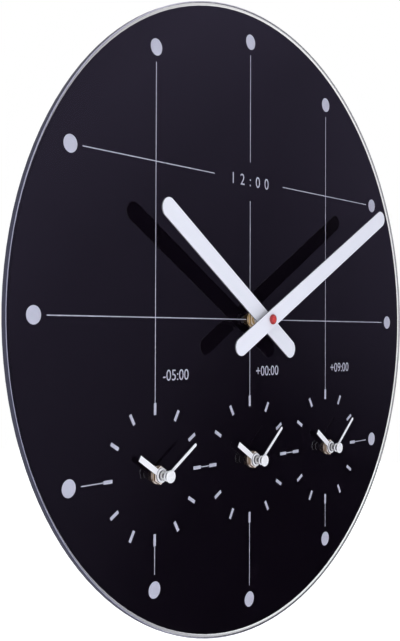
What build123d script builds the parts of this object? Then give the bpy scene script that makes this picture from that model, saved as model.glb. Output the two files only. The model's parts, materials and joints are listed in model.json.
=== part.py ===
"""World time wall clock: a round glass dial with one large and three small clock movements.

Millimetres. The wall is the plane Y = 0, the dial faces -Y and Z points up. The origin is
where the axis of the large hands meets the wall. A "height" is a distance from the wall.
"""

import os
from dataclasses import dataclass
from math import cos, pi, radians, sin, sqrt, tan

from build123d import *

# Clearances
running_gap = 0.05          # radial, between a turning shaft and its bore
press_gap = 0.02            # radial, between two pieces pushed together
slip_gap = 0.1              # around a piece that drops into its seat
axial_gap = 0.2             # along the axis, between pieces that turn past each other

# Glass dial and the inks on its back
glass_radius = 215.0
glass_thickness = 4.0
glass_arris = 0.8           # ground bevel along both edges of the rim
shaft_hole_gap = 0.3        # radial, between a shaft bush and the glass
clear_margin = 2.6          # clear glass outside the black coat
coat_thickness = 0.1        # black coat that covers the pale inks from behind
ink_thickness = 0.1
bond_gap = 0.02             # between the inks and the glass

# Dial drawing
dot_inset = 18.4            # from the rim of the black coat to the dot circle
dot_radius = 5.25
line_width = 0.6
line_stop = 9.3             # from a dot's centre to the end of its line
label_half_width = 39.4     # break in the upper lines, left free for numerals
label_above = 12.6
label_below = 14.4
tick_outer = 44.1
tick_length = 7.4
tick_width = 2.2
hours = 12

# Movement case
case_depth = 17.5
case_corner = 3.0
case_wall = 1.3
bay_wall = 1.35             # at the ends of the battery
front_wall = 1.4
cover_thickness = 1.5
cover_ledge = 1.0           # width of the step that carries the rear cover
partition = 1.0             # wall between the wheels and the battery
front_edge_round = 0.6
wheel_side_gap = 0.4        # from the hour wheel to the ledge of the wheel chamber
finger_notch = 7.0          # radius of the cut for taking out the battery
mark_length = 4.0           # strokes of the polarity marks
mark_width = 0.9
mark_depth = 0.4
mark_inset = 8.0            # from the sides of the cover
mark_up = 3.5               # above the lower edge of the cover

# Battery, size AA, and its contacts
battery_radius = 7.1
battery_length = 49.5
nub_radius = 2.75
nub_length = 1.0
battery_gap = 0.2
contact_sheet = 0.4
contact_width = 9.0
spring_depth = 2.2          # bow of the sprung contact

# Shaft bush, nut and washers
bush_radius = 4.0
bush_flange_radius = 5.5
bush_flange = 0.8
main_bush_rise = 4.5        # bush end above the glass at the large hands
nut_across_flats = 10.0
nut_height = 2.4
nut_turn = 30.0             # stands the nuts on a corner
metal_washer_radius = 5.6
metal_washer = 0.5
rubber_washer_radius = 9.0
rubber_washer = 2.0

# Hanger, bent from sheet steel
hanger_sheet = 1.0
hanger_width = 22.0
hanger_corner = 3.0
hanger_bend = 1.5           # middle radius of its two bends
hanger_below = 9.0          # reach below the shaft
hanger_rise = 27.0          # rear leg above the case
hanger_case_gap = 0.8
keyhole_radius = 4.5
keyhole_up = 11.0           # entry hole above the bend
keyhole_slot = 5.0
keyhole_travel = 8.0

# Wheels that turn the hour hand once for twelve turns of the minute hand
arbor_radius = 1.5
tube_radius = 2.5
pivot_radius = 0.8
pivot_length = 2.0
cannon_teeth = 12
minute_wheel_teeth = 36
minute_module = 0.5
pinion_teeth = 10
hour_wheel_teeth = 40
hour_module = 0.48          # gives both wheel pairs the same centre distance
addendum = 0.85             # tooth sizes, in modules
dedendum = 1.25
flank_angle = 20.0
backlash = 0.25
wheel_thickness = 1.2
pinion_extra = 0.4          # how far a pinion stands out of its wheel on each side
wheel_spacing = 1.4         # free height between the two wheel pairs
cannon_collar_radius = 2.4
hour_hub_radius = 3.6
hour_hub = 0.3

# Setting knob on the back
knob_radius = 7.2
knob_thickness = 1.8
knob_sink = 0.6             # below the wall side of the cover
knob_stub_radius = 1.2
knob_grooves = 20
groove_radius = 0.6
cup_gap = 0.9               # radial, round the knob
cup_wall = 1.2
pivot_boss_radius = 2.3
boss_below_wheel = 2.0      # from the top of the rear pivot boss to the cannon pinion

# Coil and circuit board
coil_radius = 4.0
coil_length = 20.0
core_thickness = 1.2
core_width = 4.0
core_length = 30.0
bobbin_flange = 1.0
bobbin_flange_radius = 4.8
coil_side_gap = 2.4         # from the coil to the side of the wheel chamber
coil_end_gap = 2.7          # from the core to the top of the wheel chamber
coil_z = 8.0
post_radius = 1.5
coil_post = 6.0             # length of the posts under the core
board_width = 9.0
board_length = 30.0
board_thickness = 1.0
board_side_gap = 2.7
board_z = 8.0
board_post = 3.0
chip_radius = 3.0
chip_height = 1.0
crystal_radius = 1.0
crystal_length = 6.0

# Large hands, set outwards towards their tips so that they pass over the small hubs
hand_thickness = 0.8
hour_tip = 129.2
hour_tail = 44.8
hour_width = 12.5
hour_rake = 1.9
hour_angle = 302.55
minute_tip = 169.8
minute_tail = 43.2
minute_width = 12.0
minute_rake = 1.6
minute_angle = 60.1
hand_spacing = 4.9          # between the two large hands at the shaft
hour_collar_radius = 4.0
minute_collar_radius = 3.2
collar_length = 2.2
sweep_gap = 1.7             # between the large hour hand and the small hubs below it
cap_post_radius = 2.1
cap_post = 0.9
cap_radius = 3.5
cap_head = 1.1
cap_round = 0.8

# Small hands, each with a turned hub
city_hand_thickness = 0.4
city_hour_length = 22.8
city_hour_width = 3.85
city_flange_radius = 4.5
city_flange = 0.9
city_collar_radius = 3.1
city_collar = 1.2
city_hub_gap = 1.7          # between the hubs of the two small hands
city_minute_length = 32.2
city_minute_width = 2.05
city_minute_collar_radius = 2.2
city_minute_collar = 1.3
city_minute_hub = 3.2
city_minute_hub_height = 0.6
city_cap_post = 2.3
city_cap_post_height = 2.1
city_cap_radius = 3.9
city_cap_head = 0.8
city_cap_round = 0.3
city_hour_angles = (302.5, 302.1, 305.5)
city_minute_angles = (57.5, 49.6, 49.0)

# Heights from the wall, stacked outwards
case_front = case_depth
chamber_front = case_depth - front_wall
coat_back = case_front + rubber_washer
ink_back = coat_back + coat_thickness
glass_back = ink_back + ink_thickness + bond_gap
glass_front = glass_back + glass_thickness
nut_back = glass_front + metal_washer
nut_front = nut_back + nut_height

# Heights of the wheels, stacked inwards from the bush
flange_back = chamber_front - bush_flange
hour_hub_top = flange_back - axial_gap
hour_wheel_top = hour_hub_top - hour_hub
hour_wheel_back = hour_wheel_top - wheel_thickness
cannon_collar_top = hour_wheel_back - axial_gap
minute_wheel_top = hour_wheel_back - pinion_extra - wheel_spacing
minute_wheel_back = minute_wheel_top - wheel_thickness
cannon_back = minute_wheel_back - pinion_extra
cannon_top = minute_wheel_top + pinion_extra
boss_top = cannon_back - boss_below_wheel
knob_front = knob_sink + knob_thickness
cup_floor = knob_front + axial_gap
cup_front = cup_floor + cup_wall

# Heights of the small hands
city_hour_back = nut_front + axial_gap
city_flange_top = city_hour_back + city_flange
city_collar_top = city_flange_top + city_collar
city_minute_collar_back = city_collar_top + city_hub_gap
city_minute_back = city_minute_collar_back + city_minute_collar
city_minute_top = city_minute_back + city_minute_hub_height
city_cap_neck = city_minute_top + city_cap_post_height
city_cap_top = city_cap_neck + city_cap_head

# Places on the dial
coat_radius = glass_radius - clear_margin
dot_circle = coat_radius - dot_inset
grid_pitch = dot_circle * sin(pi / 6)
shaft_hole = bush_radius + shaft_hole_gap

# Heights of the large hands at the shaft
hour_rise = (grid_pitch - city_cap_radius) * tan(radians(hour_rake))
hour_back = city_cap_top + sweep_gap - hour_rise
hour_top = hour_back + hand_thickness
minute_back = hour_top + hand_spacing
minute_top = minute_back + hand_thickness

# Places inside a case, from its shaft
wheel_distance = minute_module * (cannon_teeth + minute_wheel_teeth) / 2
bay_height = 2 * (battery_radius + battery_gap)
bay_length = battery_length + nub_length + contact_sheet + spring_depth + battery_gap
case_side = bay_length + 2 * bay_wall
wheel_tip = hour_module * (hour_wheel_teeth / 2 + addendum)
seat_bottom = -wheel_tip - wheel_side_gap - cover_ledge
bay_z = seat_bottom - partition - bay_height / 2
case_bottom = bay_z - bay_height / 2 - case_wall
seat_top = coil_z + core_length / 2 + coil_end_gap + cover_ledge
case_top = seat_top + case_wall
bay_depth = case_depth - 2 * front_wall
battery_height = bay_depth - battery_gap - battery_radius
seat_width = case_side - 2 * case_wall
chamber_side = seat_width / 2 - cover_ledge
coil_x = coil_side_gap + bobbin_flange_radius - chamber_side
board_x = chamber_side - board_side_gap - board_width / 2
hanger_bend_z = case_top + hanger_case_gap + hanger_sheet / 2


@dataclass
class Unit:
    """One movement: its shaft's place on the dial, its shaft heights and its hand angles."""

    name: str
    x: float
    z: float
    bush_end: float
    tube_end: float
    arbor_end: float
    hour_angle: float
    minute_angle: float


main_unit = Unit(
    "main", 0.0, 0.0,
    bush_end=glass_front + main_bush_rise,
    tube_end=hour_top,
    arbor_end=minute_back,
    hour_angle=hour_angle,
    minute_angle=minute_angle,
)
city_units = [
    Unit(
        name, column * grid_pitch, -grid_pitch,
        bush_end=nut_front,
        tube_end=city_collar_top - axial_gap / 2,
        arbor_end=city_cap_neck - axial_gap,
        hour_angle=city_hour_angles[column + 1],
        minute_angle=city_minute_angles[column + 1],
    )
    for column, name in ((-1, "left"), (0, "centre"), (1, "right"))
]
units = [main_unit, *city_units]


def dial_plane(height, x=0.0, z=0.0, angle=0.0, rake=0.0):
    """Plane that faces the room. Its Y axis points along a clock angle and leans out by the rake."""
    turn = radians(angle)
    lean = radians(rake)
    across = Vector(cos(turn), 0, -sin(turn))
    along = Vector(sin(turn) * cos(lean), -sin(lean), cos(turn) * cos(lean))
    return Plane(origin=(x, -height, z), x_dir=across, z_dir=across.cross(along))


def shaft_section(unit):
    """Plane through a shaft: X is the radius, Y the height from the wall."""
    return Plane(origin=(unit.x, 0, unit.z), x_dir=(1, 0, 0), z_dir=(0, 0, -1))


def shaft_axis(unit):
    return Axis((unit.x, 0, unit.z), (0, -1, 0))


def turned_outline(start, *steps):
    """Half outline of a turned piece, from (end height, radius) steps towards the room."""
    points = [(0, start)]
    height = start
    for end, radius in steps:
        points += [(radius, height), (radius, end)]
        height = end
    return [*points, (0, height)]


def gear_outline(teeth, module, first_tooth):
    """Closed outline of a straight-flanked gear. The first tooth points along an angle in degrees."""
    pitch_radius = module * teeth / 2
    half_tooth = (pi * module / 2 - backlash) / 2
    slope = tan(radians(flank_angle))
    tip = addendum * module
    root = -dedendum * module
    corners = ((root, -1), (tip, -1), (tip, 1), (root, 1))
    points = []
    for tooth in range(teeth):
        middle = radians(first_tooth) + 2 * pi * tooth / teeth
        for rise, side in corners:
            radius = pitch_radius + rise
            turn = middle + side * (half_tooth - rise * slope) / radius
            points.append((radius * cos(turn), radius * sin(turn)))
    return points


def save(part, name):
    part.label = name
    export_step(part, f"parts/{name}.step")


def dots_face(grow=0.0):
    with BuildSketch() as dots:
        with PolarLocations(dot_circle, hours):
            Circle(dot_radius + grow)
    return dots.sketch


def lines_face(grow=0.0):
    """Straight lines that join the dots and stop at the small dials, the numerals and the shaft."""
    city_z = -grid_pitch
    columns = (-grid_pitch, 0.0, grid_pitch)
    stretches = []
    for column in columns:
        end = sqrt(dot_circle**2 - column**2) - line_stop
        stretches.append((column, column, -end, city_z - tick_outer))
        if column == 0:
            stretches.append((column, column, city_z + tick_outer, grid_pitch - label_below))
            stretches.append((column, column, grid_pitch + label_above, end))
        else:
            stretches.append((column, column, city_z + tick_outer, end))
    middle_end = dot_circle - line_stop
    side_end = sqrt(dot_circle**2 - grid_pitch**2) - line_stop
    stretches.append((-middle_end, middle_end, 0.0, 0.0))
    stretches.append((-side_end, -label_half_width, grid_pitch, grid_pitch))
    stretches.append((label_half_width, side_end, grid_pitch, grid_pitch))
    starts = [-side_end, *(column + tick_outer for column in columns)]
    ends = [*(column - tick_outer for column in columns), side_end]
    stretches += [(start, end, city_z, city_z) for start, end in zip(starts, ends)]
    with BuildSketch() as lines:
        for left, right, bottom, top in stretches:
            with Locations(((left + right) / 2, (bottom + top) / 2)):
                Rectangle(
                    max(right - left, line_width) + 2 * grow,
                    max(top - bottom, line_width) + 2 * grow,
                )
        Circle(shaft_hole, mode=Mode.SUBTRACT)
    return lines.sketch


def ticks_face(grow=0.0):
    with BuildSketch() as ticks:
        for unit in city_units:
            with Locations((unit.x, unit.z)):
                with PolarLocations(tick_outer - tick_length / 2, hours):
                    Rectangle(tick_length + 2 * grow, tick_width + 2 * grow)
    return ticks.sketch


def build_glass_dial():
    with BuildPart() as glass_dial:
        with BuildSketch(dial_plane(glass_back)):
            Circle(glass_radius)
            with Locations(*((unit.x, unit.z) for unit in units)):
                Circle(shaft_hole, mode=Mode.SUBTRACT)
        extrude(amount=glass_thickness)
        rim = glass_dial.edges().filter_by(GeomType.CIRCLE)
        chamfer(rim.filter_by(lambda edge: edge.radius > shaft_hole), glass_arris)
    save(glass_dial.part, "glass_dial")


def build_inks():
    with BuildPart() as hour_dots:
        with BuildSketch(dial_plane(ink_back)):
            add(dots_face())
        extrude(amount=ink_thickness)
    save(hour_dots.part, "hour_dots")

    with BuildPart() as grid_lines:
        with BuildSketch(dial_plane(ink_back)):
            add(lines_face())
            add(ticks_face(press_gap), mode=Mode.SUBTRACT)
        extrude(amount=ink_thickness)
    save(grid_lines.part, "grid_lines")

    with BuildPart() as subdial_ticks:
        with BuildSketch(dial_plane(ink_back)):
            add(ticks_face())
        extrude(amount=ink_thickness)
    save(subdial_ticks.part, "subdial_ticks")

    # The black coat fills the space between the pale inks and closes them off from behind.
    with BuildPart() as black_coat:
        with BuildSketch(dial_plane(coat_back)):
            Circle(coat_radius)
            with Locations(*((unit.x, unit.z) for unit in units)):
                Circle(shaft_hole, mode=Mode.SUBTRACT)
        extrude(amount=coat_thickness)
        with BuildSketch(dial_plane(ink_back)):
            Circle(coat_radius)
            with Locations(*((unit.x, unit.z) for unit in units)):
                Circle(shaft_hole, mode=Mode.SUBTRACT)
            add(dots_face(press_gap), mode=Mode.SUBTRACT)
            add(lines_face(press_gap), mode=Mode.SUBTRACT)
            add(ticks_face(press_gap), mode=Mode.SUBTRACT)
        extrude(amount=ink_thickness)
    save(black_coat.part, "black_coat")


def build_hanger():
    """Z-shaped strip: clamped behind the dial, bent back over the case, with a keyhole at the wall."""
    front_middle = case_front + hanger_sheet / 2
    rear_middle = hanger_sheet / 2
    rear_end = hanger_bend_z + hanger_rise
    with BuildPart() as hanger:
        with BuildSketch(Plane.YZ.offset(-hanger_width / 2)):
            with BuildLine():
                FilletPolyline(
                    (-front_middle, -hanger_below),
                    (-front_middle, hanger_bend_z),
                    (-rear_middle, hanger_bend_z),
                    (-rear_middle, rear_end),
                    radius=hanger_bend,
                )
            trace(line_width=hanger_sheet)
        extrude(amount=hanger_width)
        with BuildSketch(dial_plane(case_front)):
            Circle(bush_radius + slip_gap)
        extrude(amount=hanger_sheet, mode=Mode.SUBTRACT)
        with BuildSketch(dial_plane(0, z=hanger_bend_z + keyhole_up)):
            Circle(keyhole_radius)
            with Locations((0, keyhole_travel / 2)):
                SlotCenterToCenter(keyhole_travel, keyhole_slot, rotation=90)
        extrude(amount=hanger_sheet, mode=Mode.SUBTRACT)
        for end in (hanger.faces().sort_by(Axis.Z)[0], hanger.faces().sort_by(Axis.Z)[-1]):
            fillet(end.edges().filter_by(Axis.Y), hanger_corner)
    save(hanger.part, "hanger_bracket")


def build_shaft_hardware():
    with BuildPart() as bushes:
        for unit in units:
            with BuildSketch(shaft_section(unit)):
                with BuildLine():
                    Polyline(
                        *turned_outline(
                            flange_back,
                            (chamber_front, bush_flange_radius),
                            (unit.bush_end, bush_radius),
                        ),
                        close=True,
                    )
                make_face()
            revolve(axis=shaft_axis(unit))
            with BuildSketch(dial_plane(flange_back, unit.x, unit.z)):
                Circle(tube_radius + running_gap)
            extrude(amount=unit.bush_end - flange_back, mode=Mode.SUBTRACT)
    save(bushes.part, "shaft_bushes")

    with BuildPart() as rubber_washers:
        for unit in units:
            packing = hanger_sheet if unit is main_unit else 0.0
            with BuildSketch(dial_plane(case_front + packing, unit.x, unit.z)):
                Circle(rubber_washer_radius)
                Circle(bush_radius + slip_gap, mode=Mode.SUBTRACT)
            extrude(amount=rubber_washer - packing)
    save(rubber_washers.part, "rubber_washers")

    with BuildPart() as metal_washers:
        for unit in units:
            with BuildSketch(dial_plane(glass_front, unit.x, unit.z)):
                Circle(metal_washer_radius)
                Circle(bush_radius + slip_gap, mode=Mode.SUBTRACT)
            extrude(amount=metal_washer)
    save(metal_washers.part, "metal_washers")

    with BuildPart() as hex_nuts:
        for unit in units:
            with BuildSketch(dial_plane(nut_back, unit.x, unit.z)):
                RegularPolygon(nut_across_flats / 2, 6, major_radius=False, rotation=nut_turn)
                Circle(bush_radius + press_gap, mode=Mode.SUBTRACT)
            extrude(amount=nut_height)
    save(hex_nuts.part, "hex_nuts")


def build_case(unit):
    with BuildPart() as case:
        with BuildSketch(dial_plane(0, unit.x, unit.z)):
            with Locations((0, (case_top + case_bottom) / 2)):
                RectangleRounded(case_side, case_top - case_bottom, case_corner)
        extrude(amount=case_depth)
        fillet(case.faces().sort_by(Axis.Y)[0].edges(), front_edge_round)
        with BuildSketch(dial_plane(0, unit.x, unit.z)):
            with Locations((0, (seat_top + seat_bottom) / 2)):
                Rectangle(seat_width, seat_top - seat_bottom)
        extrude(amount=cover_thickness, mode=Mode.SUBTRACT)
        with BuildSketch(dial_plane(cover_thickness, unit.x, unit.z)):
            with Locations((0, (seat_top + seat_bottom) / 2)):
                Rectangle(seat_width - 2 * cover_ledge, seat_top - seat_bottom - 2 * cover_ledge)
        extrude(amount=chamber_front - cover_thickness, mode=Mode.SUBTRACT)
        with BuildSketch(dial_plane(0, unit.x, unit.z)):
            with Locations((0, bay_z)):
                Rectangle(bay_length, bay_height)
        extrude(amount=bay_depth, mode=Mode.SUBTRACT)
        with BuildSketch(Plane(origin=(unit.x, 0, unit.z + case_bottom), z_dir=(0, 0, 1))):
            Circle(finger_notch)
        extrude(amount=case_wall, mode=Mode.SUBTRACT)
        with BuildSketch(dial_plane(chamber_front, unit.x, unit.z)):
            Circle(bush_radius + press_gap)
        extrude(amount=front_wall, mode=Mode.SUBTRACT)
        # Blind hole for the minute wheel's front pivot
        with BuildSketch(dial_plane(chamber_front, unit.x, unit.z)):
            with Locations((0, wheel_distance)):
                Circle(pivot_radius + running_gap)
        extrude(amount=front_wall / 2, mode=Mode.SUBTRACT)
        # Posts for the coil's core and for the circuit board
        with BuildSketch(dial_plane(chamber_front - coil_post, unit.x, unit.z)):
            with Locations((coil_x, coil_z)):
                with GridLocations(0, core_length - 2 * post_radius, 1, 2):
                    Circle(post_radius)
        extrude(amount=coil_post)
        with BuildSketch(dial_plane(chamber_front - board_post, unit.x, unit.z)):
            with Locations((board_x, board_z)):
                with GridLocations(0, board_length - 4 * post_radius, 1, 2):
                    Circle(post_radius)
        extrude(amount=board_post)
    save(case.part, f"{unit.name}_case")


def build_rear_cover(unit):
    """Plate flush with the wall side of the case, with a cup for the knob and a boss for the shaft."""
    cup_radius = knob_radius + cup_gap
    with BuildPart() as cover:
        with BuildSketch(dial_plane(0, unit.x, unit.z)):
            with Locations((0, (seat_top + seat_bottom) / 2)):
                Rectangle(seat_width - 2 * slip_gap, seat_top - seat_bottom - 2 * slip_gap)
        extrude(amount=cover_thickness)
        with BuildSketch(dial_plane(0, unit.x, unit.z)):
            with Locations((0, wheel_distance)):
                Circle(cup_radius + cup_wall)
        extrude(amount=cup_front)
        with BuildSketch(dial_plane(0, unit.x, unit.z)):
            Circle(pivot_boss_radius)
        extrude(amount=boss_top)
        with BuildSketch(dial_plane(0, unit.x, unit.z)):
            with Locations((0, wheel_distance)):
                Circle(cup_radius)
        extrude(amount=cup_floor, mode=Mode.SUBTRACT)
        with BuildSketch(dial_plane(cup_floor, unit.x, unit.z)):
            with Locations((0, wheel_distance)):
                Circle(arbor_radius + running_gap)
        extrude(amount=cup_wall, mode=Mode.SUBTRACT)
        with BuildSketch(dial_plane(boss_top, unit.x, unit.z)):
            Circle(pivot_radius + running_gap)
        extrude(amount=-(pivot_length + axial_gap), mode=Mode.SUBTRACT)
        # Plus and minus beside the ends of the battery
        mark_x = seat_width / 2 - mark_inset
        with BuildSketch(dial_plane(0, unit.x, unit.z + seat_bottom + mark_up)):
            with Locations((-mark_x, 0), (mark_x, 0)):
                Rectangle(mark_length, mark_width)
            with Locations((mark_x, 0)):
                Rectangle(mark_width, mark_length)
        extrude(amount=mark_depth, mode=Mode.SUBTRACT)
    save(cover.part, f"{unit.name}_rear_cover")


def build_battery(unit):
    start = unit.x - bay_length / 2 + spring_depth + battery_gap / 2
    base = Plane(origin=(start, -battery_height, unit.z + bay_z), z_dir=(1, 0, 0))
    with BuildPart() as battery:
        with BuildSketch(base):
            Circle(battery_radius)
        extrude(amount=battery_length)
        fillet(battery.edges(), nub_length / 2)
        with BuildSketch(base.offset(battery_length)):
            Circle(nub_radius)
        extrude(amount=nub_length)
    save(battery.part, f"{unit.name}_battery")


def build_battery_contacts():
    """A flat contact at the nub of each cell and a bowed, springy one at its other end."""
    half_bay = bay_length / 2
    with BuildPart() as contacts:
        for unit in units:
            with BuildSketch(dial_plane(battery_height - contact_width / 2, unit.x, unit.z + bay_z)):
                with Locations((half_bay - contact_sheet / 2, 0)):
                    Rectangle(contact_sheet, contact_width)
                with BuildLine():
                    Polyline(
                        (-half_bay, -contact_width / 2),
                        (-half_bay + spring_depth, 0),
                        (-half_bay, contact_width / 2),
                        (-half_bay, contact_width / 2 - 2 * contact_sheet),
                        (-half_bay + spring_depth - contact_sheet, 0),
                        (-half_bay, -contact_width / 2 + 2 * contact_sheet),
                        close=True,
                    )
                make_face()
            extrude(amount=contact_width)
    save(contacts.part, "battery_contacts")


def build_motor_coil(unit):
    core_front = chamber_front - coil_post
    axis_height = core_front - core_thickness / 2
    middle = Plane(origin=(unit.x + coil_x, -axis_height, unit.z + coil_z))
    with BuildPart() as coil:
        with BuildSketch(dial_plane(core_front - core_thickness, unit.x + coil_x, unit.z + coil_z)):
            Rectangle(core_width, core_length)
        extrude(amount=core_thickness)
        with BuildSketch(middle):
            Circle(coil_radius)
        extrude(amount=coil_length / 2, both=True)
        for side in (-1, 1):
            with BuildSketch(middle.offset(side * (coil_length - bobbin_flange) / 2)):
                Circle(bobbin_flange_radius)
            extrude(amount=bobbin_flange / 2, both=True)
    save(coil.part, f"{unit.name}_motor_coil")


def build_circuit_board(unit):
    back = chamber_front - board_post - board_thickness
    with BuildPart() as board:
        with BuildSketch(dial_plane(back, unit.x + board_x, unit.z + board_z)):
            Rectangle(board_width, board_length)
        extrude(amount=board_thickness)
        with BuildSketch(dial_plane(back - chip_height, unit.x + board_x, unit.z + board_z)):
            Circle(chip_radius)
        extrude(amount=chip_height, taper=-10)
        crystal_z = unit.z + board_z + chip_radius + crystal_radius
        with BuildSketch(Plane(origin=(unit.x + board_x, -back, crystal_z))):
            Circle(crystal_radius)
        extrude(amount=crystal_length)
    save(board.part, f"{unit.name}_circuit_board")


def build_cannon_pinion(unit):
    """Minute arbor: rear pivot, pinion, collar under the hour wheel and a long shaft to the hand."""
    with BuildPart() as cannon:
        with BuildSketch(shaft_section(unit)):
            with BuildLine():
                Polyline(
                    *turned_outline(
                        boss_top - pivot_length,
                        (boss_top + axial_gap, pivot_radius),
                        (cannon_top, arbor_radius),
                        (cannon_collar_top, cannon_collar_radius),
                        (unit.arbor_end, arbor_radius),
                    ),
                    close=True,
                )
            make_face()
        revolve(axis=shaft_axis(unit))
        with BuildSketch(dial_plane(cannon_back, unit.x, unit.z)):
            with BuildLine():
                Polyline(*gear_outline(cannon_teeth, minute_module, 90), close=True)
            make_face()
        extrude(amount=cannon_top - cannon_back)
    save(cannon.part, f"{unit.name}_cannon_pinion")


def build_minute_wheel(unit):
    """Wheel driven by the cannon pinion, with the pinion that drives the hour wheel and a knob stub."""
    arbor = Unit("arbor", unit.x, unit.z + wheel_distance, 0, 0, 0, 0, 0)
    pinion_back = hour_wheel_back - pinion_extra
    pinion_top = hour_wheel_top + pinion_extra
    wheel_gap = 270 + 180 / minute_wheel_teeth
    with BuildPart() as wheel:
        with BuildSketch(shaft_section(arbor)):
            with BuildLine():
                Polyline(
                    *turned_outline(
                        knob_sink + axial_gap,
                        (knob_front, knob_stub_radius),
                        (pinion_top, arbor_radius),
                        (chamber_front + front_wall / 2 - axial_gap, pivot_radius),
                    ),
                    close=True,
                )
            make_face()
        revolve(axis=shaft_axis(arbor))
        with BuildSketch(dial_plane(minute_wheel_back, arbor.x, arbor.z)):
            with BuildLine():
                Polyline(*gear_outline(minute_wheel_teeth, minute_module, wheel_gap), close=True)
            make_face()
        extrude(amount=wheel_thickness)
        with BuildSketch(dial_plane(pinion_back, arbor.x, arbor.z)):
            with BuildLine():
                Polyline(*gear_outline(pinion_teeth, hour_module, 270), close=True)
            make_face()
        extrude(amount=pinion_top - pinion_back)
    save(wheel.part, f"{unit.name}_minute_wheel")


def build_hour_wheel(unit):
    wheel_gap = 90 + 180 / hour_wheel_teeth
    with BuildPart() as wheel:
        with BuildSketch(dial_plane(hour_wheel_back, unit.x, unit.z)):
            with BuildLine():
                Polyline(*gear_outline(hour_wheel_teeth, hour_module, wheel_gap), close=True)
            make_face()
        extrude(amount=wheel_thickness)
        with BuildSketch(shaft_section(unit)):
            with BuildLine():
                Polyline(
                    *turned_outline(
                        hour_wheel_back,
                        (hour_hub_top, hour_hub_radius),
                        (unit.tube_end, tube_radius),
                    ),
                    close=True,
                )
            make_face()
        revolve(axis=shaft_axis(unit))
        with BuildSketch(dial_plane(hour_wheel_back, unit.x, unit.z)):
            Circle(arbor_radius + running_gap)
        extrude(amount=unit.tube_end - hour_wheel_back, mode=Mode.SUBTRACT)
    save(wheel.part, f"{unit.name}_hour_wheel")


def build_setting_knob(unit):
    with BuildPart() as knob:
        with BuildSketch(dial_plane(knob_sink, unit.x, unit.z + wheel_distance)):
            Circle(knob_radius)
            with PolarLocations(knob_radius, knob_grooves):
                Circle(groove_radius, mode=Mode.SUBTRACT)
            Circle(knob_stub_radius + press_gap, mode=Mode.SUBTRACT)
        extrude(amount=knob_thickness)
    save(knob.part, f"{unit.name}_setting_knob")


def build_main_hour_hand():
    with BuildPart() as hand:
        with BuildSketch(dial_plane(hour_back, angle=hour_angle, rake=hour_rake)):
            with Locations((0, (hour_tip - hour_tail) / 2)):
                SlotOverall(hour_tip + hour_tail, hour_width, rotation=90)
        extrude(amount=hand_thickness)
        with BuildSketch(dial_plane(hour_back - collar_length)):
            Circle(hour_collar_radius)
        extrude(amount=collar_length + hand_thickness / 2)
        with BuildSketch(dial_plane(hour_back - collar_length)):
            Circle(tube_radius + press_gap)
        extrude(amount=collar_length + 2 * hand_thickness, mode=Mode.SUBTRACT)
    save(hand.part, "main_hour_hand")


def build_main_minute_hand():
    with BuildPart() as hand:
        with BuildSketch(dial_plane(minute_back, angle=minute_angle, rake=minute_rake)):
            with Locations((0, (minute_tip - minute_tail) / 2)):
                SlotOverall(minute_tip + minute_tail, minute_width, rotation=90)
        extrude(amount=hand_thickness)
        with BuildSketch(dial_plane(minute_back - collar_length)):
            Circle(minute_collar_radius)
        extrude(amount=collar_length + hand_thickness / 2)
        with BuildSketch(dial_plane(minute_back - collar_length)):
            Circle(arbor_radius + press_gap)
        extrude(amount=collar_length + hand_thickness / 2, mode=Mode.SUBTRACT)
    save(hand.part, "main_minute_hand")


def build_main_cap():
    seat = dial_plane(minute_back, angle=minute_angle, rake=minute_rake).offset(hand_thickness)
    with BuildPart() as cap:
        with BuildSketch(seat):
            Circle(cap_post_radius)
        extrude(amount=cap_post)
        with BuildSketch(seat.offset(cap_post)):
            Circle(cap_radius)
        extrude(amount=cap_head)
        fillet(cap.faces().sort_by(Axis.Y)[0].edges(), cap_round)
    save(cap.part, "main_centre_cap")


def build_city_hour_hand(unit):
    with BuildPart() as hand:
        with BuildSketch(dial_plane(city_hour_back, unit.x, unit.z, unit.hour_angle)):
            with Locations((0, city_hour_length / 2)):
                Rectangle(city_hour_width, city_hour_length)
        extrude(amount=city_hand_thickness)
        with BuildSketch(shaft_section(unit)):
            with BuildLine():
                Polyline(
                    *turned_outline(
                        city_hour_back,
                        (city_flange_top, city_flange_radius),
                        (city_collar_top, city_collar_radius),
                    ),
                    close=True,
                )
            make_face()
        revolve(axis=shaft_axis(unit))
        with BuildSketch(dial_plane(city_hour_back, unit.x, unit.z)):
            Circle(tube_radius + press_gap)
        extrude(amount=city_collar_top - city_hour_back, mode=Mode.SUBTRACT)
    save(hand.part, f"{unit.name}_hour_hand")


def build_city_minute_hand(unit):
    reach = city_minute_length + city_minute_width / 2
    with BuildPart() as hand:
        with BuildSketch(dial_plane(city_minute_back, unit.x, unit.z, unit.minute_angle)):
            with Locations((0, (city_minute_length - city_minute_width / 2) / 2)):
                SlotOverall(reach, city_minute_width, rotation=90)
        extrude(amount=city_hand_thickness)
        with BuildSketch(shaft_section(unit)):
            with BuildLine():
                Polyline(
                    *turned_outline(
                        city_minute_collar_back,
                        (city_minute_back, city_minute_collar_radius),
                        (city_minute_top, city_minute_hub),
                    ),
                    close=True,
                )
            make_face()
        revolve(axis=shaft_axis(unit))
        with BuildSketch(dial_plane(city_minute_collar_back, unit.x, unit.z)):
            Circle(arbor_radius + press_gap)
        extrude(amount=city_minute_top - city_minute_collar_back, mode=Mode.SUBTRACT)
    save(hand.part, f"{unit.name}_minute_hand")


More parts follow.
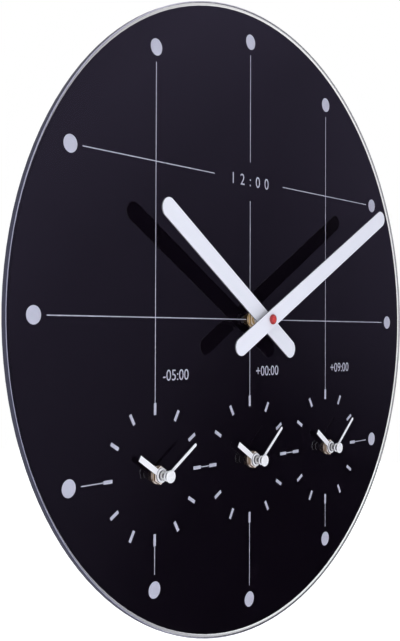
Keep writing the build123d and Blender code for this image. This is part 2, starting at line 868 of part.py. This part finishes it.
def build_city_cap(unit):
    with BuildPart() as cap:
        with BuildSketch(shaft_section(unit)):
            with BuildLine():
                Polyline(
                    *turned_outline(
                        city_minute_top,
                        (city_cap_neck, city_cap_post),
                        (city_cap_top, city_cap_radius),
                    ),
                    close=True,
                )
            make_face()
        revolve(axis=shaft_axis(unit))
        fillet(cap.faces().sort_by(Axis.Y)[0].edges(), city_cap_round)
        with BuildSketch(dial_plane(city_minute_top, unit.x, unit.z)):
            Circle(arbor_radius + press_gap)
        extrude(amount=city_cap_post_height, mode=Mode.SUBTRACT)
    save(cap.part, f"{unit.name}_hand_cap")


def build_movement(unit):
    build_case(unit)
    build_rear_cover(unit)
    build_battery(unit)
    build_motor_coil(unit)
    build_circuit_board(unit)
    build_cannon_pinion(unit)
    build_minute_wheel(unit)
    build_hour_wheel(unit)
    build_setting_knob(unit)


def main():
    os.makedirs("parts", exist_ok=True)
    build_glass_dial()
    build_inks()
    build_hanger()
    build_shaft_hardware()
    build_battery_contacts()
    for unit in units:
        build_movement(unit)
    build_main_hour_hand()
    build_main_minute_hand()
    build_main_cap()
    for unit in city_units:
        build_city_hour_hand(unit)
        build_city_minute_hand(unit)
        build_city_cap(unit)


main()
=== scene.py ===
"""Looks of the world time wall clock: materials, numerals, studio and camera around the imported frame.

Metres. The wall is the plane Y = 0, the dial faces -Y and Z points up.
"""

import json
import math

import bmesh
import bpy
from mathutils import Matrix, Vector


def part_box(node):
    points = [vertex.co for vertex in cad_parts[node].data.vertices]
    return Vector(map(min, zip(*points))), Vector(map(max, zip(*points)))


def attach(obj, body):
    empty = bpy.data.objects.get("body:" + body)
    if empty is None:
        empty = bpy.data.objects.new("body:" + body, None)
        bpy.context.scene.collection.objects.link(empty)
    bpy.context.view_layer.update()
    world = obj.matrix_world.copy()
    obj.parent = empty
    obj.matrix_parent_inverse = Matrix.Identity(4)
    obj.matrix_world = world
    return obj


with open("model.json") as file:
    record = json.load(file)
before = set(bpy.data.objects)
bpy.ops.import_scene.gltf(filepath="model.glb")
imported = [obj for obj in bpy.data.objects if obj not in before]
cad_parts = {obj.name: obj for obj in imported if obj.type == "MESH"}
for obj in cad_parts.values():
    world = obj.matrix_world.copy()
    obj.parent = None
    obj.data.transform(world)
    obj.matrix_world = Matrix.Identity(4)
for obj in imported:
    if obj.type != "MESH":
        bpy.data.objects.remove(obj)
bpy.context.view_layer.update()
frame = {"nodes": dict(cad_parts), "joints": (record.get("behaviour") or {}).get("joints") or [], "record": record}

MM = 0.001
HAIR = 0.02 * MM             # margin in a test for one face of a solid
FLAT = 0.5                   # a normal with this share along Y, or more, faces the front or the wall

# Camera, fitted to the photograph
PHOTO_HEIGHT = 641           # pixels
FOCAL_PIXELS = 949.3
SENSOR = 36.0                # millimetres, as Blender counts a sensor
CAMERA_PLACE = Vector((-0.52975, -0.41954, -0.0098))
CAMERA_FORWARD = Vector((0.7670, 0.6415, 0.0136))
CAMERA_DOWN = Vector((0.0124, 0.0064, -0.9999))

# Dial. Depths count from the wall.
glass_low, glass_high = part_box("glass_dial")
GLASS_RADIUS = glass_high.x
GLASS_FRONT = -glass_low.y
GLASS_BACK = -glass_high.y
GLASS_ARRIS = 0.8 * MM
COAT_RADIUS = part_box("black_coat")[1].x
INK_FRONT = -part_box("hour_dots")[0].y
# Light and shade are painted around the glass rim; this angle points to where the painted light is strongest
RIM_LIGHT_CLOCK = math.radians(70)   # clockwise from the top to the lightest part of the rim

# The small dials stand one pitch apart, and one pitch below the large shaft
shafts = {joint["name"]: joint["pos_m"] for joint in frame["joints"]}
GRID_PITCH = shafts["right_minute_turn"][0]
SMALL_DIALS_TOP = -GRID_PITCH / 2

# Hands and shafts. The right small dial stands for all three.
CAP_RADIUS = 3.5 * MM
GROOVE_PITCH = 1.5 * MM
SMALL_FLANGE = 0.9 * MM
SMALL_COLLAR = 1.3 * MM
SMALL_CAP_HEAD = 0.8 * MM
small_hour_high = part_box("right_hour_hand")[1]
SMALL_HUB_RADIUS = small_hour_high.x - GRID_PITCH
SMALL_FLANGE_TOP = SMALL_FLANGE - small_hour_high.y
SMALL_MINUTE_BACK = SMALL_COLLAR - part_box("right_minute_hand")[1].y
SMALL_CAP_NECK = -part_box("right_hand_cap")[0].y - SMALL_CAP_HEAD

# Light of the studio, a little bluer than white
LIGHT_TINT = (0.927, 0.942, 1.0)


class Shading:
    """The node tree of a material or a world, with short calls to add and join nodes."""

    mix_first, mix_second, mix_result = 6, 7, 2   # colour sockets of Blender's mix node

    def __init__(self, name, world=None):
        self.owner = world or bpy.data.materials.new(name)
        self.owner.use_nodes = True
        self.tree = self.owner.node_tree
        self.tree.nodes.clear()
        kind = "World" if world else "Material"
        self.output = self.tree.nodes.new(f"ShaderNodeOutput{kind}")

    def add(self, kind, inputs=None, **settings):
        node = self.tree.nodes.new(kind)
        for key, value in settings.items():
            setattr(node, key, value)
        for key, value in (inputs or {}).items():
            self.put(node.inputs[key], value)
        return node

    def put(self, socket, value):
        """Joins an output to a socket, or sets the socket's value. A colour comes without its alpha."""
        if isinstance(value, bpy.types.NodeSocket):
            self.tree.links.new(value, socket)
        elif isinstance(value, tuple) and len(value) < len(socket.default_value):
            socket.default_value = (*value, 1.0)
        else:
            socket.default_value = value

    def coordinates(self, kind="Object"):
        return self.add("ShaderNodeTexCoord").outputs[kind]

    def axes(self, vector):
        """The X, Y and Z of a vector."""
        return self.add("ShaderNodeSeparateXYZ", {"Vector": vector}).outputs

    def facing(self):
        """The Y of the normal: -1 on a face towards the front, 1 on a face towards the wall."""
        return self.axes(self.coordinates("Normal"))["Y"]

    def math(self, operation, first, second=0.0):
        node = self.add("ShaderNodeMath", operation=operation)
        self.put(node.inputs[0], first)
        self.put(node.inputs[1], second)
        return node.outputs[0]

    def distance(self, across, along):
        """Length of a step across and along the dial."""
        squares = self.math("MULTIPLY", across, across), self.math("MULTIPLY", along, along)
        return self.math("SQRT", self.math("ADD", *squares))

    def spread(self, value, low, high, start=0.3, end=0.7):
        """A value between start and end, as a number between low and high."""
        return self.add(
            "ShaderNodeMapRange",
            {"Value": value, "From Min": start, "From Max": end, "To Min": low, "To Max": high},
        ).outputs["Result"]

    def noise(self, scale, detail=3.0, stretch=None):
        place = self.coordinates()
        if stretch:
            place = self.add("ShaderNodeMapping", {"Vector": place, "Scale": stretch}).outputs[0]
        return self.add(
            "ShaderNodeTexNoise",
            {"Vector": place, "Scale": scale, "Detail": detail, "Roughness": 0.55},
        ).outputs["Fac"]

    def blend(self, factor, first, second):
        """The first colour where the factor is 0, and the second where it is 1."""
        node = self.add("ShaderNodeMix", data_type="RGBA")
        self.put(node.inputs["Factor"], factor)
        self.put(node.inputs[self.mix_first], first)
        self.put(node.inputs[self.mix_second], second)
        return node.outputs[self.mix_result]

    def choose(self, factor, first, second):
        """The first shader where the factor is 0, and the second where it is 1."""
        return self.add("ShaderNodeMixShader", {0: factor, 1: first, 2: second}).outputs[0]

    def seen(self):
        """One where the camera looks straight, by a mirror or through glass, and zero for soft light."""
        path = self.add("ShaderNodeLightPath").outputs
        mirrored = self.math("MAXIMUM", path["Is Camera Ray"], path["Is Glossy Ray"])
        return self.math("MAXIMUM", mirrored, path["Is Transmission Ray"])

    def bump(self, height, strength, distance):
        return self.add(
            "ShaderNodeBump", {"Height": height, "Strength": strength, "Distance": distance}
        ).outputs["Normal"]

    def surface(self, **inputs):
        """Blender's principled shader, with an underscore for each space in an input's name."""
        named = {}
        for key, value in inputs.items():
            named[key.replace("_", " ").title().replace("Ior", "IOR")] = value
        return self.add("ShaderNodeBsdfPrincipled", named).outputs["BSDF"]

    def finish(self, shader):
        self.tree.links.new(shader, self.output.inputs["Surface"])
        return self.owner


def clear_glass():
    """Polished glass with a ground rim, and light and shade painted around the rim. Light goes straight through to
    the inks bonded to its back.
    """
    s = Shading("clear_glass")
    x, y, z = s.axes(s.coordinates())
    radius = s.distance(x, z)
    inside = s.math("LESS_THAN", radius, COAT_RADIUS)
    ground = s.math("GREATER_THAN", radius, GLASS_RADIUS - GLASS_ARRIS + HAIR)
    side = s.math("GREATER_THAN", radius, GLASS_RADIUS - HAIR)

    # Painted light and shade: the rim is dark and bluish at its lower left and light at its upper right
    darkest, lightest = -1.0, 0.75
    edge_darkest = -0.35
    sideways = math.sin(RIM_LIGHT_CLOCK) / GLASS_RADIUS
    upward = math.cos(RIM_LIGHT_CLOCK) / GLASS_RADIUS
    lean = s.math("ADD", s.math("MULTIPLY", x, sideways), s.math("MULTIPLY", z, upward))
    light = s.spread(lean, 0.0, 1.0, darkest, lightest)
    edge_light = s.spread(lean, 0.0, 1.0, edge_darkest, lightest)

    # The painted shade of the edge reaches into the front bevel on the dark side
    narrow_bevel = 0.4 * GLASS_ARRIS
    whole_bevel_lean = -0.1
    depth = s.math("ADD", y, GLASS_FRONT - HAIR)
    bevel_depth = s.spread(lean, narrow_bevel, GLASS_ARRIS, darkest, whole_bevel_lean)
    rear = s.math("GREATER_THAN", depth, bevel_depth)
    dark = s.math("MAXIMUM", side, s.math("MULTIPLY", ground, rear))

    streak = s.noise(9.0, detail=2.0)
    grit = s.noise(900.0)
    clear = s.blend(streak, (0.965, 0.985, 0.985), (0.975, 0.990, 0.992))
    # The clear margin, the ground bevel and the edge take painted light and shade along the lean
    margin = s.blend(light, (0.20, 0.20, 0.225), (0.985, 0.98, 0.97))
    polished = s.blend(inside, margin, clear)
    bevel_dark = s.blend(grit, (0.27, 0.27, 0.36), (0.32, 0.32, 0.42))
    bevel = s.blend(light, bevel_dark, (0.80, 0.76, 0.86))
    edge_dark = s.blend(grit, (0.034, 0.034, 0.058), (0.046, 0.046, 0.074))
    edge = s.blend(edge_light, edge_dark, (0.33, 0.325, 0.335))
    glass = s.surface(
        base_color=s.blend(ground, polished, s.blend(dark, bevel, edge)),
        roughness=s.spread(ground, 0.0, 0.55, 0.0, 1.0),
        ior=1.52,
        specular_ior_level=s.spread(dark, 0.5, 0.15, 0.0, 1.0),
        transmission_weight=s.spread(ground, 1.0, 0.15, 0.0, 1.0),
    )
    shadow = s.add("ShaderNodeLightPath").outputs["Is Shadow Ray"]
    tinted = s.add("ShaderNodeBsdfTransparent", {"Color": (0.93, 0.95, 0.95)}).outputs[0]
    bonded = s.math("MULTIPLY", inside, s.math("GREATER_THAN", y, -GLASS_BACK - HAIR))
    nothing = s.add("ShaderNodeBsdfTransparent").outputs[0]
    return s.finish(s.choose(bonded, s.choose(shadow, glass, tinted), nothing))


def ink(name, mottle_scale, dark, bright):
    """Matt ink. It has no gloss of its own, because the glass in front of it has."""
    s = Shading(name)
    mottle = s.noise(mottle_scale, detail=4.0)
    return s.finish(s.surface(
        base_color=s.blend(mottle, dark, bright),
        roughness=0.6,
        specular_ior_level=0.0,
    ))


def white_hand():
    """White paint in front and on the small minute hubs, dark backs, grey edges that are partly bare metal and
    partly painted shade, and lathe-cut collars, satin in front, with painted shade on their sides.
    """
    s = Shading("white_hand")
    facing = s.facing()
    behind = s.math("GREATER_THAN", facing, FLAT)
    front = s.math("LESS_THAN", facing, -FLAT)

    # Distance from the nearest small shaft, and height over the wall
    x, y, z = s.axes(s.coordinates())
    column = s.math("MULTIPLY", s.math("ROUND", s.math("DIVIDE", x, GRID_PITCH)), GRID_PITCH)
    radius = s.distance(s.math("SUBTRACT", x, column), s.math("ADD", z, GRID_PITCH))
    height = s.math("MULTIPLY", y, -1.0)
    hub = s.math("LESS_THAN", radius, SMALL_HUB_RADIUS + HAIR)
    over_flange = s.math("GREATER_THAN", height, SMALL_FLANGE_TOP + HAIR)
    under_minute = s.math("LESS_THAN", height, SMALL_MINUTE_BACK - HAIR)
    collar = s.math("MULTIPLY", hub, s.math("MULTIPLY", over_flange, under_minute))
    minute_hub = s.math("MULTIPLY", hub, s.math("SUBTRACT", 1.0, under_minute))

    mottle = s.noise(70.0, detail=5.0)
    large = s.blend(mottle, (0.875, 0.885, 0.955), (0.92, 0.925, 0.98))
    small = s.blend(mottle, (0.94, 0.935, 0.955), (0.97, 0.965, 0.98))
    paint = s.blend(s.math("LESS_THAN", z, SMALL_DIALS_TOP), large, small)
    # Painted shade: the edges are dark grey, partly for bare metal and partly for the shade they lie in
    edge = s.blend(mottle, (0.20, 0.20, 0.22), (0.25, 0.25, 0.27))
    dark = s.blend(mottle, (0.010, 0.010, 0.012), (0.016, 0.016, 0.019))
    satin = s.blend(s.noise(400.0), (0.53, 0.51, 0.53), (0.61, 0.59, 0.61))
    bar = s.blend(behind, s.blend(s.math("MAXIMUM", front, minute_hub), edge, paint), dark)
    # Painted shade: the collars' sides are nearly black, and their front faces satin grey
    collar_shade = s.blend(front, (0.05, 0.048, 0.05), satin)
    return s.finish(s.surface(
        base_color=s.blend(collar, bar, collar_shade),
        roughness=s.spread(s.noise(500.0), 0.36, 0.46),
        specular_ior_level=0.35,
    ))


def glossy_cap(s, colour):
    """Polished plastic with a faint unevenness."""
    return s.finish(s.surface(
        base_color=colour,
        roughness=s.spread(s.noise(600.0), 0.2, 0.32),
        normal=s.bump(s.noise(2500.0), 0.04, HAIR),
    ))


def white_cap():
    """Glossy white head, with painted shade: the post and the back of the head are nearly black."""
    s = Shading("white_cap")
    y = s.axes(s.coordinates())["Y"]
    outside = s.math("LESS_THAN", y, HAIR - SMALL_CAP_NECK)
    head = s.math("MULTIPLY", outside, s.math("LESS_THAN", s.facing(), FLAT))
    white = s.blend(s.noise(600.0), (0.93, 0.93, 0.94), (0.96, 0.96, 0.965))
    # Painted shade: the post and the back of the head are nearly black
    return glossy_cap(s, s.blend(head, (0.03, 0.03, 0.032), white))


def red_cap():
    """Glossy red head with painted light and shade: brightest in its middle, with a darker rim and post."""
    s = Shading("red_cap")
    bright_radius = 0.55 * CAP_RADIUS
    dark_radius = 0.8 * CAP_RADIUS
    steep = 0.2                  # a normal with a smaller share along Y belongs to the side
    x, _, z = s.axes(s.coordinates())
    side = s.math("GREATER_THAN", s.facing(), -steep)
    # Painted shade on the rounded rim and the post, and painted light in the middle of the head
    rim = s.math("MAXIMUM", side, s.spread(s.distance(x, z), 0.0, 1.0, bright_radius, dark_radius))
    red = s.blend(s.noise(600.0), (0.63, 0.058, 0.054), (0.71, 0.078, 0.070))
    return glossy_cap(s, s.blend(rim, red, (0.34, 0.035, 0.033)))


def brass():
    """Turned brass, with painted light: bright faces, and grooved sides with painted highlights and shade. The
    small hands' arbors are steel.
    """
    s = Shading("brass")
    side = s.math("LESS_THAN", s.math("ABSOLUTE", s.facing()), FLAT)
    _, y, z = s.axes(s.coordinates())
    small = s.math("LESS_THAN", z, SMALL_DIALS_TOP)
    arbor = s.math("MULTIPLY", small, s.math("LESS_THAN", y, -SMALL_FLANGE_TOP))
    turns = s.math("MULTIPLY", y, 2 * math.pi / GROOVE_PITCH)
    groove_wave, ridge_wave = -0.2, 0.7      # levels of the wave at which groove and ridge begin
    ridge = s.spread(s.math("SINE", turns), 0.0, 1.0, groove_wave, ridge_wave)
    tarnish = s.noise(350.0, detail=5.0)
    # Painted light and shade: the faces are cream as lit, the ridges gold as highlights and the grooves dark as
    # shade, lighter on the large shaft than on the small ones
    face = s.blend(tarnish, (0.92, 0.80, 0.72), (0.97, 0.89, 0.83))
    main_groove_shade = s.blend(tarnish, (0.28, 0.155, 0.055), (0.40, 0.235, 0.09))
    small_groove_shade = s.blend(tarnish, (0.030, 0.016, 0.010), (0.055, 0.032, 0.020))
    main_ridge_highlight = s.blend(tarnish, (1.0, 0.68, 0.28), (1.0, 0.80, 0.42))
    small_ridge_highlight = s.blend(tarnish, (0.86, 0.61, 0.38), (0.96, 0.74, 0.52))
    groove = s.blend(small, main_groove_shade, small_groove_shade)
    ridge_highlight = s.blend(small, main_ridge_highlight, small_ridge_highlight)
    metal = s.blend(side, face, s.blend(ridge, groove, ridge_highlight))
    return s.finish(s.surface(
        base_color=s.blend(arbor, metal, (0.20, 0.19, 0.20)),
        metallic=s.spread(s.math("MULTIPLY", side, small), 0.12, 0.5, 0.0, 1.0),
        roughness=s.spread(tarnish, 0.28, 0.42),
        normal=s.bump(s.math("MULTIPLY", ridge, side), 0.3, 0.1 * MM),
    ))


def moulded(name, dark, bright, smooth=0.45, rough=0.62, grain=2600.0):
    """Moulded plastic or rubber with a fine eroded grain."""
    s = Shading(name)
    grains = s.noise(grain, detail=4.0)
    patches = s.noise(35.0)
    return s.finish(s.surface(
        base_color=s.blend(patches, dark, bright),
        roughness=s.spread(grains, smooth, rough),
        specular_ior_level=0.45,
        normal=s.bump(grains, 0.25, 0.05 * MM),
    ))


def battery_sleeve():
    """Plain sleeve with a pale band, and bare metal at both ends of the cell."""
    s = Shading("battery_sleeve")
    base_end, band_start, tip_start = 0.02, 0.70, 0.955      # shares of the cell's length
    along = s.axes(s.coordinates("Generated"))["X"]
    tip = s.math("GREATER_THAN", along, tip_start)
    base = s.math("LESS_THAN", along, base_end)
    bare = s.math("MAXIMUM", tip, base)
    band = s.math("GREATER_THAN", along, band_start)
    mottle = s.noise(500.0)
    dark = s.blend(mottle, (0.045, 0.075, 0.13), (0.055, 0.09, 0.15))
    pale = s.blend(mottle, (0.52, 0.53, 0.55), (0.60, 0.61, 0.63))
    return s.finish(s.surface(
        base_color=s.blend(bare, s.blend(band, dark, pale), (0.66, 0.66, 0.67)),
        metallic=s.math("MAXIMUM", bare, s.math("MULTIPLY", band, 0.6)),
        roughness=s.spread(mottle, 0.24, 0.36),
        normal=s.bump(mottle, 0.03, 0.02 * MM),
    ))


def copper_winding():
    """Turns of enamelled wire, side by side along the coil."""
    s = Shading("copper_winding")
    turns = s.add(
        "ShaderNodeTexWave",
        {"Vector": s.coordinates(), "Scale": 1400.0, "Distortion": 0.6, "Detail": 2.0},
        wave_type="BANDS", bands_direction="Z",
    ).outputs["Fac"]
    return s.finish(s.surface(
        base_color=s.blend(turns, (0.30, 0.10, 0.04), (0.58, 0.25, 0.10)),
        metallic=0.8,
        roughness=s.spread(turns, 0.5, 0.3),
        normal=s.bump(turns, 0.5, 0.05 * MM),
    ))


def zinc_steel():
    """Zinc-plated sheet with a faint spangle and rolling marks along its length."""
    s = Shading("zinc_steel")
    cells = s.add("ShaderNodeTexVoronoi", {"Vector": s.coordinates(), "Scale": 420.0}).outputs["Color"]
    tone = s.axes(cells)["X"]
    marks = s.noise(1.0, stretch=(2500.0, 2500.0, 60.0))
    return s.finish(s.surface(
        base_color=s.blend(tone, (0.50, 0.51, 0.53), (0.62, 0.63, 0.64)),
        metallic=1.0,
        roughness=s.spread(marks, 0.28, 0.44),
        normal=s.bump(marks, 0.08, 0.02 * MM),
    ))


def spring_steel():
    """Bright metal with fine marks and a little tarnish."""
    s = Shading("spring_steel")
    tarnish = s.noise(350.0, detail=5.0)
    marks = s.noise(1.0, detail=2.0, stretch=(900.0, 9000.0, 900.0))
    return s.finish(s.surface(
        base_color=s.blend(tarnish, (0.58, 0.58, 0.57), (0.70, 0.70, 0.69)),
        metallic=1.0,
        roughness=s.spread(marks, 0.2, 0.34),
        normal=s.bump(marks, 0.05, HAIR),
    ))


MATERIALS = {
    "clear_glass": clear_glass(),
    "black_ink": ink("black_ink", 60.0, (0.0030, 0.0019, 0.0038), (0.0042, 0.0028, 0.0052)),
    "pale_ink": ink("pale_ink", 240.0, (0.497, 0.490, 0.583), (0.538, 0.532, 0.632)),
    "white_hand": white_hand(),
    "red_cap": red_cap(),
    "white_cap": white_cap(),
    "brass": brass(),
    "black_plastic": moulded("black_plastic", (0.016, 0.016, 0.018), (0.026, 0.026, 0.028)),
    "knob_plastic": moulded("knob_plastic", (0.12, 0.12, 0.13), (0.17, 0.17, 0.18), 0.38, 0.52),
    "pale_plastic": moulded("pale_plastic", (0.74, 0.74, 0.70), (0.82, 0.82, 0.78), 0.35, 0.5),
    "battery_sleeve": battery_sleeve(),
    "board": moulded("board", (0.02, 0.13, 0.05), (0.04, 0.20, 0.08), 0.3, 0.45, grain=900.0),
    "copper_winding": copper_winding(),
    "zinc_steel": zinc_steel(),
    "spring_steel": spring_steel(),
    "rubber": moulded("rubber", (0.012, 0.012, 0.012), (0.02, 0.02, 0.02), 0.7, 0.85, grain=1800.0),
}


def dress_nodes():
    """Gives each CAD node the material of its slot in the record."""
    for subpart in frame["record"]["subparts"]:
        materials = frame["nodes"][subpart["node"]].data.materials
        materials.clear()
        materials.append(MATERIALS[subpart["material_slot"]])


def link(piece):
    """Puts an object into the scene."""
    bpy.context.scene.collection.objects.link(piece)


def numerals(name, words, left, baseline, height, spacing=1.0, centred=False):
    """Numbers printed on the back of the glass, as a thin mesh in front of the black ink."""
    figure_share = 0.729     # height of a figure, as a share of the font size
    half_thickness = 0.004 * MM
    curve = bpy.data.curves.new(name, "FONT")
    curve.body = words
    curve.size = height / figure_share
    curve.space_character = spacing
    curve.align_x = "CENTER" if centred else "LEFT"
    curve.extrude = half_thickness
    curve.resolution_u = 6
    shape = bpy.data.objects.new(name + "_curve", curve)
    link(shape)
    bpy.context.view_layer.update()
    mesh = bpy.data.meshes.new_from_object(shape.evaluated_get(bpy.context.evaluated_depsgraph_get()))
    bpy.data.objects.remove(shape)
    upright = Matrix.Rotation(math.radians(90), 4, "X")
    depth = (INK_FRONT + GLASS_BACK) / 2
    mesh.transform(Matrix.Translation((left, -depth, baseline)) @ upright)
    mesh.name = name
    mesh.materials.clear()
    mesh.materials.append(MATERIALS["pale_ink"])
    piece = bpy.data.objects.new(name, mesh)
    link(piece)
    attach(piece, "clock_body")


def print_numerals():
    """An offset in hours over each small dial, and a time of day in the gap of the upper line."""
    offset_height = 7.2 * MM
    offset_baseline = -39.5 * MM
    offset_inset = 6.8 * MM
    for column, name, offset in ((-1, "left", "-05:00"), (0, "centre", "+00:00"), (1, "right", "+09:00")):
        start = column * GRID_PITCH + offset_inset
        numerals(f"{name}_offset", offset, start, offset_baseline, offset_height)
    noon_height = 8.0 * MM
    numerals("noon", "12:00", 0.0, GRID_PITCH - noon_height / 2, noon_height, spacing=1.9, centred=True)


def studio():
    """White background, soft fill and lamps that no surface mirrors, the key lamp low on the left."""
    world = bpy.data.worlds.new("studio")
    bpy.context.scene.world = world
    fill = 0.45
    s = Shading("studio", world)
    colour = s.blend(s.seen(), tuple(fill * share for share in LIGHT_TINT), (1.0, 1.0, 1.0))
    s.finish(s.add("ShaderNodeBackground", {"Color": colour}).outputs[0])

    # Name, place, width and power in watts
    lamps = (
        ("key", (-1.7, -1.35, -0.35), 1.6, 38.0),
        ("top", (0.6, -0.6, 3.0), 2.0, 12.0),
        ("rear", (0.6, 2.6, 1.8), 2.0, 40.0),
    )
    for name, place, width, power in lamps:
        light = bpy.data.lights.new(name, "AREA")
        light.size = width
        light.energy = power
        light.color = LIGHT_TINT
        lamp = bpy.data.objects.new(name, light)
        lamp.location = place
        lamp.visible_glossy = False
        lamp.rotation_mode = "QUATERNION"
        lamp.rotation_quaternion = (-Vector(place)).to_track_quat("-Z", "Y")
        link(lamp)


def floor():
    """White paper far below the clock, which looks as white as the background."""
    drop = -1.3
    reach = 8.0
    corners = [(x * reach, y * reach, drop) for x, y in ((-1, -1), (1, -1), (1, 1), (-1, 1))]
    mesh = bpy.data.meshes.new("floor")
    mesh.from_pydata(corners, [], [(0, 1, 2, 3)])
    s = Shading("floor")
    mesh.materials.append(s.finish(s.surface(
        base_color=s.blend(s.noise(3.0), (0.86, 0.86, 0.86), (0.88, 0.88, 0.88)),
        roughness=0.9,
        emission_color=(1.0, 1.0, 1.0),
        emission_strength=s.math("MULTIPLY", s.seen(), 0.8),
    )))
    piece = bpy.data.objects.new("floor", mesh)
    link(piece)
    piece.visible_glossy = False


def surround():
    """Half a dome that only mirrors show, pale above and dark below, as cards and flags in a studio."""
    radius = 6.0
    tint = (1.13, 1.0, 1.64)
    darkest = 0.80           # sideways share of the direction in which the dome is darkest
    left_gain, right_gain = 1.8, 1.0

    # Level of a direction, which grows upwards and away from the darkest side, and the light there
    stops = (
        (-1.0, 0.50), (-0.60, 0.45), (-0.34, 0.0), (-0.20, 0.004), (-0.09, 0.016),
        (-0.01, 0.053), (0.06, 0.088), (0.12, 0.110), (0.18, 0.130), (0.23, 0.150),
        (0.31, 0.170), (0.37, 0.203), (0.51, 0.28), (1.0, 0.30),
    )
    bpy.ops.mesh.primitive_uv_sphere_add(segments=64, ring_count=32, radius=radius)
    piece = bpy.context.object
    piece.name = "surround"
    half = bmesh.new()
    half.from_mesh(piece.data)
    bmesh.ops.delete(half, geom=[vertex for vertex in half.verts if vertex.co.y > HAIR])
    half.to_mesh(piece.data)
    half.free()

    s = Shading("surround")
    direction = s.add("ShaderNodeVectorMath", {0: s.coordinates()}, operation="NORMALIZE").outputs[0]
    x, _, z = s.axes(direction)
    across = s.math("SUBTRACT", x, darkest)
    leftward = s.math("MULTIPLY", across, -left_gain)
    rightward = s.math("MULTIPLY", across, right_gain)
    level = s.math("ADD", z, s.math("MAXIMUM", leftward, rightward))
    low, high = stops[0][0], stops[-1][0]
    ramp = s.add("ShaderNodeValToRGB", {"Fac": s.spread(level, 0.0, 1.0, low, high)})
    elements = ramp.color_ramp.elements
    for stop, _ in stops[1:-1]:
        elements.new((stop - low) / (high - low))
    for element, (_, grey) in zip(elements, stops):
        element.color = (*(grey * share for share in tint), 1.0)
    glow = s.add("ShaderNodeEmission", {"Color": ramp.outputs["Color"], "Strength": 1.0})
    piece.data.materials.append(s.finish(glow.outputs[0]))
    piece.visible_camera = False
    piece.visible_diffuse = False
    piece.visible_transmission = False
    piece.visible_shadow = False


def camera():
    """The camera that took the photograph, from its fitted place and directions."""
    data = bpy.data.cameras.new("camera")
    data.sensor_width = SENSOR
    data.lens = FOCAL_PIXELS * SENSOR / PHOTO_HEIGHT
    data.clip_start = 0.01
    data.clip_end = 100.0
    back = -CAMERA_FORWARD.normalized()
    right = (-CAMERA_DOWN).cross(back).normalized()
    up = back.cross(right)
    turn = Matrix((right, up, back)).transposed()
    piece = bpy.data.objects.new("camera", data)
    piece.matrix_world = Matrix.Translation(CAMERA_PLACE) @ turn.to_4x4()
    link(piece)
    bpy.context.scene.camera = piece


dress_nodes()
print_numerals()
studio()
floor()
surround()
camera()
bpy.context.scene.view_settings.view_transform = "Standard"
